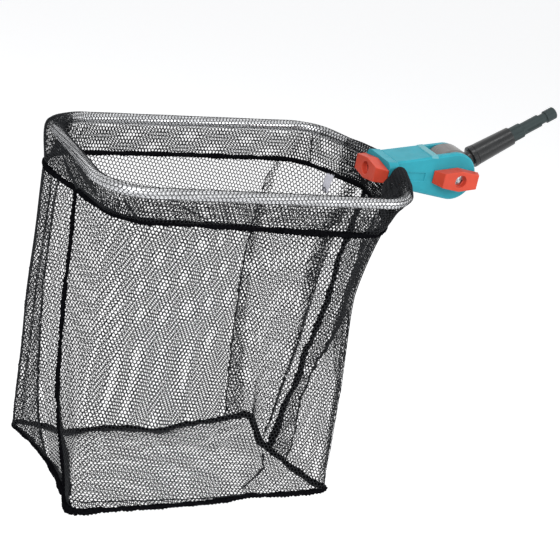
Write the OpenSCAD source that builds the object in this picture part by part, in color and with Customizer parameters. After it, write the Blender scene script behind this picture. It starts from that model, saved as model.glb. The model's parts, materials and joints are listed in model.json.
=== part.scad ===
// Leaf skimmer net: a deep mesh bag on a bent tube frame, held by a tilting
// clamp head with two wing nuts, on a short shaft that clicks into a pole.
// X runs along the net towards the handle, Z is up and the tube frame lies flat.
// The origin is halfway along the shaft's plug-in cylinder.

/* [Frame tube] */
// Outer diameter of the frame tube
tube_d = 12; // [10:0.5:16]
// Wall of the frame tube
tube_wall = 1.2; // [0.8:0.1:2]
// From the tube's ends in the clamp to its far side
frame_length = 402; // [300:1:500]
// Width across the tube at the handle end
near_width = 267; // [200:1:340]
// Width across the tube at the far end
far_width = 238; // [180:1:320]
// Angle by which the handle side is swept back from the clamp
sweep = 21.5; // [5:0.5:30]
// Bend radius at the handle-side corners
near_bend = 48; // [35:1:70]
// Bend radius at the far corners
far_bend = 55; // [35:1:70]
// Bend radius beside the clamp
clamp_bend = 24; // [20:1:45]
// Half the gap between the tube's two ends
end_gap = 7; // [6:0.5:12]

/* [Net] */
// Depth of the bag below the tube
bag_depth = 406; // [250:1:500]
// Depth of the doubled hem below the tube
hem_depth = 42; // [30:1:60]
// How far the hem is drawn in at the handle side
hem_pull = 20; // [5:1:30]
// Width across the hem at the handle end
hem_width = 256; // [180:1:300]
// How far the walls are drawn in at the handle side, halfway down
waist_pull = 24; // [0:1:35]
// How far the hem hangs out past the tube at the far side
hem_reach = 7; // [0:1:12]
// How far the bottom's edge is drawn in at the middle of its handle side
near_bow = 28; // [0:1:40]
// How far the bottom's edge is drawn in at the middle of its far side
far_bow = 16; // [0:1:30]
// Wall of the fabric channel round the tube
sleeve_wall = 0.7; // [0.5:0.1:1.5]
// Thickness of the mesh walls
mesh_t = 1; // [0.8:0.1:2]
// Rows of openings down the mesh walls, which stand for the fine mesh
opening_rows = 8; // [4:1:10]
// Share of the openings' pitch that the bar on each side of one takes
bar_share = 0.1; // [0.06:0.01:0.25]
// Diameter of the overlock seams
seam_d = 4; // [3:0.1:6]
// Length of the bag's bottom
bottom_length = 342; // [250:1:420]
// Width of the bag's bottom
bottom_width = 206; // [120:1:240]
// Corner radius of the bag's bottom
bottom_corner = 14; // [10:1:40]
// From the far side of the tube to the far edge of the bottom
bottom_inset = 10; // [0:1:40]
// Width of the sewn-in tag
tag_width = 14; // [8:1:30]
// Length of the sewn-in tag
tag_length = 26; // [10:1:45]

/* [Head] */
// Width across the fork's cheeks
fork_width = 44; // [36:0.5:50]
// Width of the head where it meets the clamp jaw
front_width = 46; // [40:0.5:54]
// Width of the slot for the knuckle
slot_width = 30; // [24:0.5:32]
// From the tube's clamped run to the pivot
pivot_reach = 87; // [80:0.5:110]
// Drop of the pivot below the frame tube
pivot_drop = 4.5; // [0:0.5:10]
// Radius of the cheeks round the pivot
cheek_r = 30.5; // [24:0.5:36]
// Height of the head's front face above the tube's axis
front_top = 12; // [9:0.5:14]
// Depth of the head's front face below the tube's axis
front_bottom = 12; // [9:0.5:16]
// Edge chamfer along the cheeks
head_chamfer = 2; // [1:0.1:3]

/* [Clamp jaw] */
// Width of the jaw
jaw_width = 60; // [50:0.5:70]
// Height of the jaw
jaw_height = 24; // [22:0.5:30]
// Thickness of the jaw
jaw_t = 12.6; // [11:0.1:16]
// Corner radius of the jaw
jaw_corner = 8; // [4:0.5:11]

/* [Wing nuts] */
// Length of a wing nut over its base
nut_base_length = 64; // [46:0.5:68]
// Length of a wing nut over its outer face
nut_face_length = 49; // [34:0.5:56]
// Width of a wing nut across its middle
nut_mid_width = 26.5; // [22:0.5:32]
// Width of a wing nut at its ends
nut_end_width = 16; // [8:0.5:18]
// Height of a wing nut
nut_height = 15; // [13:0.5:26]
// Diameter of the open well in a wing nut
nut_well_d = 16; // [15:0.5:18]
// Plastic under the metal nut
nut_web = 1.5; // [1:0.1:3]

/* [Fasteners] */
// Thread diameter of both bolts
bolt_d = 8; // [6:1:10]
// Width across flats of bolt heads and nuts
hex_flats = 13; // [11:0.5:14]
// Height of a bolt head
bolt_head_h = 5.3; // [4:0.1:6.5]
// Height of a metal nut
hex_nut_h = 6.5; // [5:0.1:8]
// Diameter of the washers
washer_d = 20; // [17:0.5:24]
// Thickness of the washers
washer_t = 1.6; // [1:0.1:2.5]

/* [Shaft] */
// Angle of the shaft above the frame's plane
shaft_tilt = 31; // [0:1:60]
// Radius of the knuckle
knuckle_r = 32; // [28:0.5:34]
// Radius of the neck behind the knuckle
neck_r = 10; // [8.5:0.5:12]
// From the pivot to the start of the sleeve
sleeve_start = 37; // [36:0.5:50]
// Length of the sleeve
sleeve_length = 60; // [40:1:80]
// Radius of the sleeve at the collar
collar_r = 14; // [12:0.1:16]
// Radius of the sleeve's far end
sleeve_end_r = 11.9; // [10.5:0.1:14]
// Length of the collar
collar_length = 5; // [3:0.5:8]
// Radius of the tang's ribbed base
tang_base_r = 9.7; // [9:0.1:11]
// Length of the tang's ribbed base
tang_base_length = 18; // [10:0.5:30]
// Radius of the tang's plug-in cylinder
plug_r = 8.1; // [7:0.05:9]
// Length of the tang's plug-in cylinder
plug_length = 26; // [20:0.5:40]
// Radius of the tang's locking neck
lock_r = 6.4; // [5:0.1:7]
// Length of the tang's locking neck
lock_length = 10; // [6:0.5:15]
// Radius of the tang's end cap
cap_r = 8; // [7:0.05:8.9]
// Length of the tang's end cap
cap_length = 14; // [8:0.5:20]

/* [Hidden] */
$fn = 96;

fit = 0.05;
running = 0.08;
gap = 0.3;
through = 1;
lap = 0.5;
hair = 0.03;

tube_r = tube_d / 2;
bolt_r = bolt_d / 2;
seam_r = seam_d / 2;
bolt_end = 1;

// Plan of the frame: corners in order, turning left all the way round.
clamp_half = jaw_width / 2 + 2;
corner_back = -(near_width / 2 - clamp_half) * tan(sweep);
frame_corners = [[0, clamp_half], [corner_back, near_width / 2],
                 [-frame_length, far_width / 2], [-frame_length, -far_width / 2],
                 [corner_back, -near_width / 2], [0, -clamp_half]];
frame_bends = [clamp_bend, near_bend, far_bend, far_bend, near_bend, clamp_bend];

// Plan of the hem at its seam, drawn in towards the bag, with the same six corners.
hem_back = corner_back - hem_pull;
hem_far = -frame_length - hem_reach;
hem_round = 15;
hem_bend = far_bend + hem_round;
hem_corners = [[-hem_pull * 0.4, clamp_half], [hem_back, hem_width / 2],
               [hem_far, far_width / 2], [hem_far, -far_width / 2],
               [hem_back, -hem_width / 2], [-hem_pull * 0.4, -clamp_half]];
hem_bends = [clamp_bend, near_bend, hem_bend, hem_bend, near_bend, clamp_bend];

// Plan of the bag's bottom.
bottom_far = -frame_length + bottom_inset;
bottom_near = bottom_far + bottom_length;
bottom_bow = 4;
bottom_corners = [[bottom_near + bottom_bow, clamp_half],
                  [bottom_near, bottom_width / 2],
                  [bottom_far, bottom_width / 2], [bottom_far, -bottom_width / 2],
                  [bottom_near, -bottom_width / 2],
                  [bottom_near + bottom_bow, -clamp_half]];
bottom_bends = [clamp_bend, bottom_corner, bottom_corner, bottom_corner, bottom_corner,
                clamp_bend];

// Heights of the net's rows, down from the tube's axis.
channel_r = tube_r + gap + sleeve_wall;
hem_top = -channel_r - gap;
hem_seam_z = -hem_depth;
hem_bottom = hem_seam_z + seam_r + gap;
wall_top = hem_seam_z - seam_r - gap;
bottom_z = -bag_depth + mesh_t;
wall_bottom = bottom_z + mesh_t + gap;
clamp_clear = jaw_height / 2 + 4;
clamp_share = (clamp_clear + hem_top) / (hem_top - hem_bottom);
bag_middle = -frame_length / 2;
corner_steps = 6;

// Where the two halves of the bag meet, at the hem and at the bottom: in whole
// numbers from bend to bend, with the second half of each along the straight.
seam_split = 0.004;
far_seam = [2.8, 2.96];
handle_seam = [5.93, 5.78];
// Openings across each bend and each straight of the wall, or each part of one
// that a seam splits.
bend_openings = [1, 2, 2, 2, 2, 1];
leg_openings = [1, 5, 1, 5, 1, 0];
tag_share = 0.6;

// Shaft stations along its axis from the pivot.
sleeve_end = sleeve_start + sleeve_length;
groove_length = 2;
groove_depth = 1.2;
shank_r = 8;
knuckle_shank = 17;
tang_shank = 28;
plug_start = sleeve_end + tang_base_length;
lock_start = plug_start + plug_length;
cap_start = lock_start + lock_length;
tang_end = cap_start + cap_length;
mount_at = plug_start + plug_length / 2;

// Where things lie, measured from the middle of the tube's clamped run.
pivot = [pivot_reach, 0, -pivot_drop];
shaft_dir = [cos(shaft_tilt), 0, sin(shaft_tilt)];
row_origin = pivot + mount_at * shaft_dir;
split_gap = 0.4;
jaw_front = split_gap + jaw_t;
clamp_z = -4.5;
slot_r = knuckle_r + 1;
slot_back = pivot_reach - slot_r + 3.5;
clamp_seat = 16;
belly = [34, -20.5];
belly_r = 6;
boss_r = 12;
boss_h = 3.5;
pivot_seat = fork_width / 2 + boss_h - bolt_head_h - 0.4;

function unit(v) = v / norm(v);
function left_of(d) = [-d[1], d[0]];
function mix(a, b, t) = a + (b - a) * t;
function heading(v, i) = unit(v[(i + 1) % len(v)] - v[i]);
function turn_at(v, i) =
    let (a = heading(v, (i + len(v) - 1) % len(v)), b = heading(v, i))
    atan2(a[0] * b[1] - a[1] * b[0], a * b);
function tangent_at(v, r, i) = r[i] * tan(turn_at(v, i) / 2);
function bend_start(v, r, i) =
    v[i] - heading(v, (i + len(v) - 1) % len(v)) * tangent_at(v, r, i);
function bend_end(v, r, i) = v[i] + heading(v, i) * tangent_at(v, r, i);
function bend_centre(v, r, i) =
    bend_start(v, r, i) + left_of(heading(v, (i + len(v) - 1) % len(v))) * r[i];

// A point on a bend, at share s of its turn, moved outwards by out.
function bend_point(v, r, i, s, out) =
    let (c = bend_centre(v, r, i), a = bend_start(v, r, i) - c,
         turned = turn_at(v, i) * s)
    c + unit([a[0] * cos(turned) - a[1] * sin(turned),
              a[0] * sin(turned) + a[1] * cos(turned)]) * (r[i] + out);

// A point of an outline, moved outwards by out: station s is a whole number where
// a bend starts, and half a step on where it ends and the straight begins.
function outline_point(v, r, s, out) =
    let (i = floor(s) % len(v), share = 2 * (s - floor(s)),
         a = bend_end(v, r, i), b = bend_start(v, r, (i + 1) % len(v)))
    share <= 1 ? bend_point(v, r, i, share, out)
               : mix(a, b, share - 1) - left_of(heading(v, i)) * out;

module in_row() {
    translate(-row_origin) children();
}

module on_shaft(along) {
    in_row()
        translate(pivot)
            rotate([0, 90 - shaft_tilt, 0])
                translate([0, 0, along]) children();
}

// A section swept along one straight leg from p to q: its x points outwards.
// It laps into the bends at both ends.
module leg(p, q) {
    far = q + unit(q - p) * lap;
    translate([far[0], far[1], 0])
        rotate([0, 0, atan2(q[1] - p[1], q[0] - p[0]) - 90])
            rotate([90, 0, 0])
                linear_extrude(norm(q - p) + 2 * lap) children();
}

module bend(v, r, i) {
    c = bend_centre(v, r, i);
    a = bend_start(v, r, i) - c;
    translate([c[0], c[1], 0])
        rotate([0, 0, atan2(a[1], a[0])])
            rotate_extrude(angle = turn_at(v, i))
                translate([r[i], 0]) children();
}

// A section swept round all corners, with the last leg left out or closed:
// the first child is the bends' section and the second, a hair larger, the legs'.
module sweep_round(v, r, closed) {
    for (i = [0 : len(v) - 1]) {
        bend(v, r, i) children(0);
        if (closed || i < len(v) - 1)
            leg(bend_end(v, r, i), bend_start(v, r, (i + 1) % len(v))) children(1);
    }
}

// The tube's run: both ends stop short of the clamp bolt.
module sweep_open(stop) {
    n = len(frame_corners) - 1;
    sweep_round(frame_corners, frame_bends, false) {
        children(0);
        children(1);
    }
    leg([0, stop + lap], bend_start(frame_corners, frame_bends, 0)) children(1);
    leg(bend_end(frame_corners, frame_bends, n), [0, -stop - lap]) children(1);
}

// A round bar of radius r along the closed run, or along the tube's open run.
module round_run(v, r, radius) {
    sweep_round(v, r, true) {
        circle(radius);
        circle(radius + hair);
    }
}

module tube_run(stop, radius) {
    sweep_open(stop) {
        circle(radius);
        circle(radius + hair);
    }
}

module hexagon(flats, h) {
    cylinder(h = h, d = flats / cos(30), $fn = 6);
}

// ---- Shaft ----

module knuckle() {
    edge = 2.5;
    half = slot_width / 2 - gap;
    color("dimgray") difference() {
        union() {
            in_row() translate(pivot) rotate([90, 0, 0])
                rotate_extrude()
                    polygon([[0, -half], [knuckle_r - edge, -half],
                             [knuckle_r - edge * 0.3, -half + edge * 0.3],
                             [knuckle_r, -half + edge],
                             [knuckle_r, half - edge],
                             [knuckle_r - edge * 0.3, half - edge * 0.3],
                             [knuckle_r - edge, half], [0, half]]);
            on_shaft(0) cylinder(h = sleeve_start, r = neck_r);
            on_shaft(0) cylinder(h = sleeve_start + knuckle_shank, r = shank_r);
        }
        in_row() translate(pivot) rotate([90, 0, 0])
            cylinder(h = slot_width + 2 * through, r = bolt_r + running, center = true);
    }
}

module sleeve() {
    body_start = collar_length + groove_length;
    color("black") difference() {
        union() {
            on_shaft(sleeve_start)
                cylinder(h = body_start, r = collar_r - groove_depth);
            on_shaft(sleeve_start + body_start)
                cylinder(h = sleeve_length - body_start, r1 = collar_r - 0.5,
                         r2 = sleeve_end_r);
        }
        on_shaft(sleeve_start - through)
            cylinder(h = sleeve_length + 2 * through, r = shank_r + fit);
    }
}

module collar_ring() {
    lip = 0.8;
    color("black") difference() {
        union() {
            on_shaft(sleeve_start) cylinder(h = lip, r1 = collar_r - lip, r2 = collar_r);
            on_shaft(sleeve_start + lip)
                cylinder(h = collar_length - lip, r = collar_r);
        }
        on_shaft(sleeve_start - through)
            cylinder(h = collar_length + 2 * through, r = collar_r - groove_depth + fit);
    }
}

module handle_tang() {
    ribs = 8;
    rib_groove_r = 1.2;
    key_w = 3.2;
    key_d = 1.1;
    chamfer = 1.2;
    color("darkslategray") difference() {
        union() {
            on_shaft(sleeve_end - tang_shank) cylinder(h = tang_shank, r = shank_r);
            on_shaft(sleeve_end)
                cylinder(h = tang_base_length - chamfer, r = tang_base_r);
            on_shaft(plug_start - chamfer)
                cylinder(h = chamfer, r1 = tang_base_r, r2 = tang_base_r - chamfer);
            on_shaft(plug_start) cylinder(h = plug_length, r = plug_r);
            on_shaft(lock_start) cylinder(h = lock_length, r = lock_r);
            on_shaft(cap_start) cylinder(h = cap_length - chamfer, r = cap_r);
            on_shaft(tang_end - chamfer)
                cylinder(h = chamfer, r1 = cap_r, r2 = cap_r - chamfer);
        }
        for (i = [0 : ribs - 1])
            on_shaft(sleeve_end + 2)
                rotate([0, 0, (i + 0.5) * 360 / ribs])
                    translate([tang_base_r + rib_groove_r * 0.35, 0, 0])
                        cylinder(h = tang_base_length, r = rib_groove_r, $fn = 24);
        for (side = [-1, 1])
            on_shaft(plug_start + 4)
                translate([-key_w / 2, side * plug_r - key_d, 0])
                    cube([key_w, 2 * key_d, plug_length - 4 + through]);
    }
}

// ---- Head ----

// The head's outline between its front face and its cheeks, pulled in by c.
module head_shape(w, c) {
    rotate([90, 0, 0]) {
        translate([pivot_reach, -pivot_drop, 0])
            cylinder(h = w, r = cheek_r - c, center = true);
        translate([belly[0], belly[1], 0])
            cylinder(h = w, r = belly_r - c, center = true);
    }
}

module head_front(w, c) {
    translate([split_gap, -w / 2, -front_bottom + c])
        cube([1, w, front_bottom + front_top - 2 * c]);
}

module fork_body() {
    stripe = 8;
    stripe_h = 0.4;
    slope = 9.9;
    recess_length = 36;
    recess_height = 11;
    recess_d = 1.1;
    side_slope = 2.6;
    recess_turn = side_slope - atan(recess_d / recess_length);
    color("darkturquoise") in_row() difference() {
        union() {
            hull() {
                head_shape(fork_width - 2 * head_chamfer, 0);
                head_shape(fork_width, head_chamfer);
                head_front(front_width - 2 * head_chamfer, 0);
                head_front(front_width, head_chamfer);
            }
            translate([slot_back - 0.5, 0, front_top + (slot_back - 0.5) * tan(slope)])
                rotate([0, -slope, 0])
                    translate([-stripe, -fork_width / 2 + head_chamfer, -2])
                        cube([stripe, fork_width - 2 * head_chamfer, 2 + stripe_h]);
            translate([pivot_reach, fork_width / 2 - 1, -pivot_drop])
                rotate([-90, 0, 0]) cylinder(h = boss_h + 1, r = boss_r);
        }
        translate([slot_back, -slot_width / 2, -cheek_r * 2])
            cube([cheek_r * 4, slot_width, cheek_r * 4]);
        translate([pivot_reach, 0, -pivot_drop]) rotate([90, 0, 0])
            cylinder(h = slot_width, r = slot_r, center = true);
        translate([pivot_reach, 0, -pivot_drop]) rotate([90, 0, 0])
            cylinder(h = fork_width + 4 * boss_h, r = bolt_r + fit, center = true);
        translate([pivot_reach, pivot_seat, -pivot_drop]) rotate([-90, 0, 0])
            hexagon(hex_flats + 2 * fit, bolt_head_h * 2);
        translate([pivot_reach, -fork_width / 2, -pivot_drop]) rotate([90, 0, 0])
            cylinder(h = front_width, d = washer_d + 2);
        rotate([90, 0, 0])
            cylinder(h = front_width * 2, r = tube_r + fit, center = true);
        translate([0, 0, clamp_z]) rotate([0, 90, 0])
            cylinder(h = slot_back, r = bolt_r + fit);
        translate([clamp_seat, 0, clamp_z]) rotate([0, 90, 0])
            hexagon(hex_flats + 2 * fit, slot_back);
        for (side = [-1, 1])
            translate([8, side * front_width / 2, -recess_height - 0.5])
                rotate([0, 0, -side * recess_turn])
                    translate([0, -recess_d, 0])
                        cube([recess_length, 2 * recess_d, recess_height]);
    }
}

module frame_tube() {
    color("silver") in_row() difference() {
        tube_run(end_gap, tube_r, $fn = 48);
        tube_run(end_gap - through, tube_r - tube_wall, $fn = 48);
    }
}

module pivot_bolt() {
    tip = fork_width / 2 + washer_t + nut_web + hex_nut_h + bolt_end;
    color("gainsboro") in_row() translate([pivot_reach, pivot_seat, -pivot_drop]) {
        rotate([90, 0, 0]) cylinder(h = pivot_seat + tip, r = bolt_r);
        rotate([-90, 0, 0]) hexagon(hex_flats, bolt_head_h);
    }
}

module clamp_bolt() {
    tip = jaw_front + washer_t + nut_web + hex_nut_h + bolt_end;
    color("gainsboro") in_row() translate([clamp_seat, 0, clamp_z]) {
        rotate([0, -90, 0]) cylinder(h = clamp_seat + tip, r = bolt_r);
        rotate([0, 90, 0]) hexagon(hex_flats, bolt_head_h);
    }
}

module clamp_jaw() {
    hw = jaw_width / 2 - jaw_corner;
    hh = jaw_height / 2 - jaw_corner;
    color("darkturquoise") in_row() difference() {
        translate([-jaw_front, 0, 0]) union() {
            translate([0, -jaw_width / 2, -hh]) cube([jaw_t, jaw_width, 2 * hh]);
            translate([0, -hw, -jaw_height / 2]) cube([jaw_t, 2 * hw, jaw_height]);
            for (y = [-hw, hw])
                for (z = [-hh, hh])
                    translate([0, y, z]) rotate([0, 90, 0])
                        cylinder(h = jaw_t, r = jaw_corner);
        }
        rotate([90, 0, 0])
            cylinder(h = jaw_width + 2 * through, r = tube_r + gap, center = true);
        translate([-jaw_front - through, 0, clamp_z]) rotate([0, 90, 0])
            cylinder(h = jaw_t + 2 * through, r = bolt_r + gap);
    }
}

module washer(bore_r) {
    difference() {
        cylinder(h = washer_t, d = washer_d);
        translate([0, 0, -through]) cylinder(h = washer_t + 2 * through, r = bore_r);
    }
}

// A wing nut standing on its base, its wings along X.
module wing_nut() {
    b = nut_base_length / 2;
    f = nut_face_length / 2;
    difference() {
        intersection() {
            linear_extrude(nut_height)
                polygon([[-b, -nut_end_width / 2], [0, -nut_mid_width / 2],
                         [b, -nut_end_width / 2], [b, nut_end_width / 2],
                         [0, nut_mid_width / 2], [-b, nut_end_width / 2]]);
            rotate([90, 0, 0])
                translate([0, 0, -nut_mid_width])
                    linear_extrude(2 * nut_mid_width)
                        polygon([[-b, 0], [b, 0], [f, nut_height], [-f, nut_height]]);
        }
        translate([0, 0, -through])
            cylinder(h = nut_height, r = bolt_r + gap);
        translate([0, 0, nut_web])
            hexagon(hex_flats + 2 * fit, nut_height);
        translate([0, 0, nut_web + hex_nut_h])
            cylinder(h = nut_height, d = nut_well_d);
    }
}

module hex_nut() {
    difference() {
        hexagon(hex_flats, hex_nut_h);
        translate([0, 0, -through])
            cylinder(h = hex_nut_h + 2 * through, r = bolt_r + running);
    }
}

module at_clamp(out) {
    in_row()
        translate([-jaw_front - out, 0, clamp_z])
            rotate([0, -90, 0])
                rotate([0, 0, 90]) children();
}

module at_pivot(out) {
    in_row()
        translate([pivot_reach, -fork_width / 2 - out, -pivot_drop])
            rotate([90, 0, 0]) children();
}

module clamp_washer() {
    color("silver") at_clamp(0) washer(bolt_r + gap);
}

module clamp_wing_nut() {
    color("orangered") at_clamp(washer_t + fit) wing_nut();
}

module clamp_hex_nut() {
    color("gainsboro") at_clamp(washer_t + fit + nut_web) hex_nut();
}

module pivot_washer() {
    color("silver") at_pivot(fit) washer(bolt_r + gap);
}

module pivot_wing_nut() {
    color("orangered") at_pivot(washer_t + 2 * fit) wing_nut();
}

module pivot_hex_nut() {
    color("gainsboro") at_pivot(washer_t + 2 * fit + nut_web) hex_nut();
}

// ---- Net ----

module net_channel() {
    color("black") in_row() difference() {
        sweep_round(frame_corners, frame_bends, false) {
            circle(channel_r, $fn = 48);
            circle(channel_r + hair, $fn = 48);
        }
        tube_run(0, tube_r + gap, $fn = 48);
        translate([-clamp_half, -clamp_half, -clamp_clear])
            cube([2 * clamp_half, 2 * clamp_half, 2 * clamp_clear]);
    }
}

// A point of the hem at share t down from the tube, or from under the clamp.
function hem_point(s, t, out) =
    let (a = outline_point(frame_corners, frame_bends, s, out),
         b = outline_point(hem_corners, hem_bends, s, out),
         share = max(t, abs(a[1]) < clamp_half + 2 ? clamp_share : 0),
         p = mix(a, b, share))
    [p[0], p[1], mix(hem_top, hem_bottom, share)];

// The doubled hem as a closed band.
module net_hem() {
    s = [for (b = [0 : len(frame_corners) - 1])
             for (k = [0 : corner_steps]) b + k / (2 * corner_steps)];
    n = len(s);
    points = [for (t = [0, 1])
                  for (out = [mesh_t / 2, -mesh_t / 2])
                      for (a = s) hem_point(a, t, out)];
    faces = [for (i = [0 : n - 1])
                 let (j = (i + 1) % n)
                 each [[i, j, 2 * n + j], [i, 2 * n + j, 2 * n + i],
                       [n + i, 3 * n + j, n + j], [n + i, 3 * n + i, 3 * n + j],
                       [i, n + j, j], [i, n + i, n + j],
                       [2 * n + i, 2 * n + j, 3 * n + j],
                       [2 * n + i, 3 * n + j, 3 * n + i]]];
    color("black") in_row() polyhedron(points, faces, convexity = 6);
}

module hem_seam() {
    color("black") in_row() translate([0, 0, hem_seam_z])
        round_run(hem_corners, hem_bends, seam_r, $fn = 24);
}

// A point of the bag's wall: t runs from the hem to the bottom.
function wall_point(s, t, out) =
    let (v = [for (k = [0 : len(hem_corners) - 1])
                  mix(hem_corners[k], bottom_corners[k], t)],
         r = [for (k = [0 : len(hem_bends) - 1]) mix(hem_bends[k], bottom_bends[k], t)],
         p = outline_point(v, r, s, out),
         near = min(1, max(0, p[0] - bag_middle) / (bottom_near - bag_middle)),
         far = min(1, max(0, bag_middle - p[0]) / (bag_middle - bottom_far)),
         bow = t * t * max(0, 1 - pow(2 * p[1] / bottom_width, 2)),
         waist = waist_pull * sin(180 * pow(t, 0.6)))
    [p[0] - (waist + near_bow * bow) * near * near + far_bow * bow * far * far,
     p[1], mix(wall_top, wall_bottom, t)];

// Both edges of each of n openings, evenly spaced from a to b.
function opening_edges(a, b, n) =
    [for (k = [0 : 1 : n - 1]) each [mix(a, b, (k + bar_share) / n),
                                     mix(a, b, (k + 1 - bar_share) / n)]];

// The wall's levels from the hem to the bottom: its rims and its openings' edges.
wall_levels = concat([0], opening_edges(0, 1, opening_rows), [1]);

// Stations along a half of the wall at a level: its ends and its openings' edges.
function wall_stations(first, last, t) =
    let (n = len(hem_corners),
         a = mix(first[0], first[1], t), b = mix(last[0], last[1], t),
         from = ceil(max(first)), to = floor(min(last)))
    concat([a], opening_edges(a, from, leg_openings[(from - 1) % n]),
           [for (i = [from : to])
                each concat(opening_edges(i, i + 0.5, bend_openings[i % n]),
                            opening_edges(i + 0.5, i < to ? i + 1 : b, leg_openings[i % n]))],
           [b]);

// Stations all the way round the bottom, as both halves of the wall have them.
function bottom_stations() =
    let (turn = len(frame_corners),
         front = wall_stations(far_seam, handle_seam, 1),
         back = wall_stations(handle_seam, [for (s = far_seam) s + turn], 1))
    concat(front, [for (k = [1 : len(back) - 2]) back[k]]);

// A half of the bag's wall, from seam to seam, as a closed sheet with openings.
module wall_sheet(first, last) {
    m = len(wall_levels);
    n = len(wall_stations(first, last, 0));
    inner = n * m;
    points = [for (out = [mesh_t / 2, -mesh_t / 2])
                  for (t = wall_levels)
                      for (s = wall_stations(first, last, t)) wall_point(s, t, out)];
    cells = [for (k = [0 : m - 2]) for (j = [0 : n - 2]) [k * n + j, k % 2 * (j % 2)]];
    solid = [for (c = cells) if (c[1] == 0) c[0]];
    open = [for (c = cells) if (c[1] == 1) c[0]];
    sides = [for (i = solid) each [
                [i, i + 1, i + n + 1], [i, i + n + 1, i + n],
                [inner + i, inner + i + n + 1, inner + i + 1],
                [inner + i, inner + i + n, inner + i + n + 1]]];
    top_edges = concat([for (j = [0 : n - 2]) j], [for (i = open) i + n]);
    foot_edges = concat([for (j = [0 : n - 2]) inner - n + j], open);
    start_edges = concat([for (k = [0 : m - 2]) k * n], [for (i = open) i + 1]);
    end_edges = concat([for (k = [1 : m - 1]) k * n - 1], open);
    rims = concat(
        [for (i = top_edges) each [[i, inner + i, inner + i + 1], [i, inner + i + 1, i + 1]]],
        [for (i = foot_edges) each [[i, i + 1, inner + i + 1],
                                    [i, inner + i + 1, inner + i]]],
        [for (i = start_edges) each [[i, i + n, inner + i + n],
                                     [i, inner + i + n, inner + i]]],
        [for (i = end_edges) each [[i, inner + i, inner + i + n],
                                   [i, inner + i + n, i + n]]]);
    polyhedron(points, concat(sides, rims), convexity = 8);
}

module net_front() {
    color("black") in_row()
        wall_sheet([for (s = far_seam) s + seam_split],
                   [for (s = handle_seam) s - seam_split]);
}

module net_back() {
    turn = len(frame_corners);
    color("black") in_row()
        wall_sheet([for (s = handle_seam) s + seam_split],
                   [for (s = far_seam) s + turn - seam_split]);
}

module net_bottom() {
    color("black") in_row() translate([0, 0, bottom_z])
        linear_extrude(mesh_t)
            polygon([for (s = bottom_stations())
                         let (p = wall_point(s, 1, mesh_t / 2)) [p[0], p[1]]]);
}

// A seam down the wall as a round cord just outside it.
module wall_seam(s) {
    sides = 10;
    reach = mesh_t / 2 + gap + seam_r;
    down = [for (t = wall_levels) wall_point(mix(s[0], s[1], t), t, reach)];
    last = len(down) - 2;
    middles = concat([mix(down[0], down[1], 1 / 3)], [for (k = [1 : last]) down[k]]);
    points = [for (p = middles)
                  for (i = [0 : sides - 1])
                      p + seam_r * [cos(i * 360 / sides), sin(i * 360 / sides), 0]];
    around = [for (k = [0 : last - 1])
                  for (i = [0 : sides - 1])
                      let (a = k * sides + i, b = k * sides + (i + 1) % sides) each [
                          [a, b, b + sides], [a, b + sides, a + sides]]];
    caps = [[for (i = [sides - 1 : -1 : 0]) i], [for (i = [0 : sides - 1]) last * sides + i]];
    polyhedron(points, concat(around, caps), convexity = 6);
}

module seam_far_end() {
    color("black") in_row() wall_seam(far_seam);
}

module seam_handle_end() {
    color("black") in_row() wall_seam(handle_seam);
}

// The seam round the bottom as a closed round cord just outside it.
module bottom_seam() {
    sides = 8;
    reach = mesh_t / 2 + gap + seam_r;
    s = bottom_stations();
    n = len(s);
    points = [for (a = s)
                  for (i = [0 : sides - 1])
                      let (angle = i * 360 / sides,
                           p = wall_point(a, 1, reach + seam_r * cos(angle)))
                      [p[0], p[1], bottom_z + mesh_t / 2 + seam_r * sin(angle)]];
    faces = [for (k = [0 : n - 1])
                 for (i = [0 : sides - 1])
                     let (a = k * sides + i, b = k * sides + (i + 1) % sides,
                          c = (k + 1) % n * sides + i,
                          d = (k + 1) % n * sides + (i + 1) % sides)
                     each [[a, d, c], [a, b, d]]];
    color("black") in_row() polyhedron(points, faces, convexity = 6);
}

// The tag hangs from the hem's seam, inside the bag, and leans with the wall.
module sewn_tag() {
    thick = 0.6;
    lean = 30;
    d = heading(hem_corners, 0);
    middle = mix(bend_end(hem_corners, hem_bends, 0),
                 bend_start(hem_corners, hem_bends, 1), tag_share);
    p = middle + left_of(d) * (seam_r + gap);
    color("white") in_row()
        translate([p[0], p[1], hem_seam_z])
            rotate([0, 0, atan2(d[1], d[0])])
                rotate([lean, 0, 0])
                    translate([-tag_width / 2, 0, -tag_length])
                        cube([tag_width, thick, tag_length]);
}

knuckle();
sleeve();
collar_ring();
handle_tang();
fork_body();
frame_tube();
pivot_bolt();
clamp_bolt();
net_channel();
net_hem();
hem_seam();
net_front();
net_back();
net_bottom();
seam_far_end();
seam_handle_end();
bottom_seam();
sewn_tag();
clamp_jaw();
clamp_washer();
clamp_wing_nut();
clamp_hex_nut();
pivot_washer();
pivot_wing_nut();
pivot_hex_nut();
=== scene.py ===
import json
import math

import bpy
import numpy as np
from mathutils import Matrix, Vector


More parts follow.
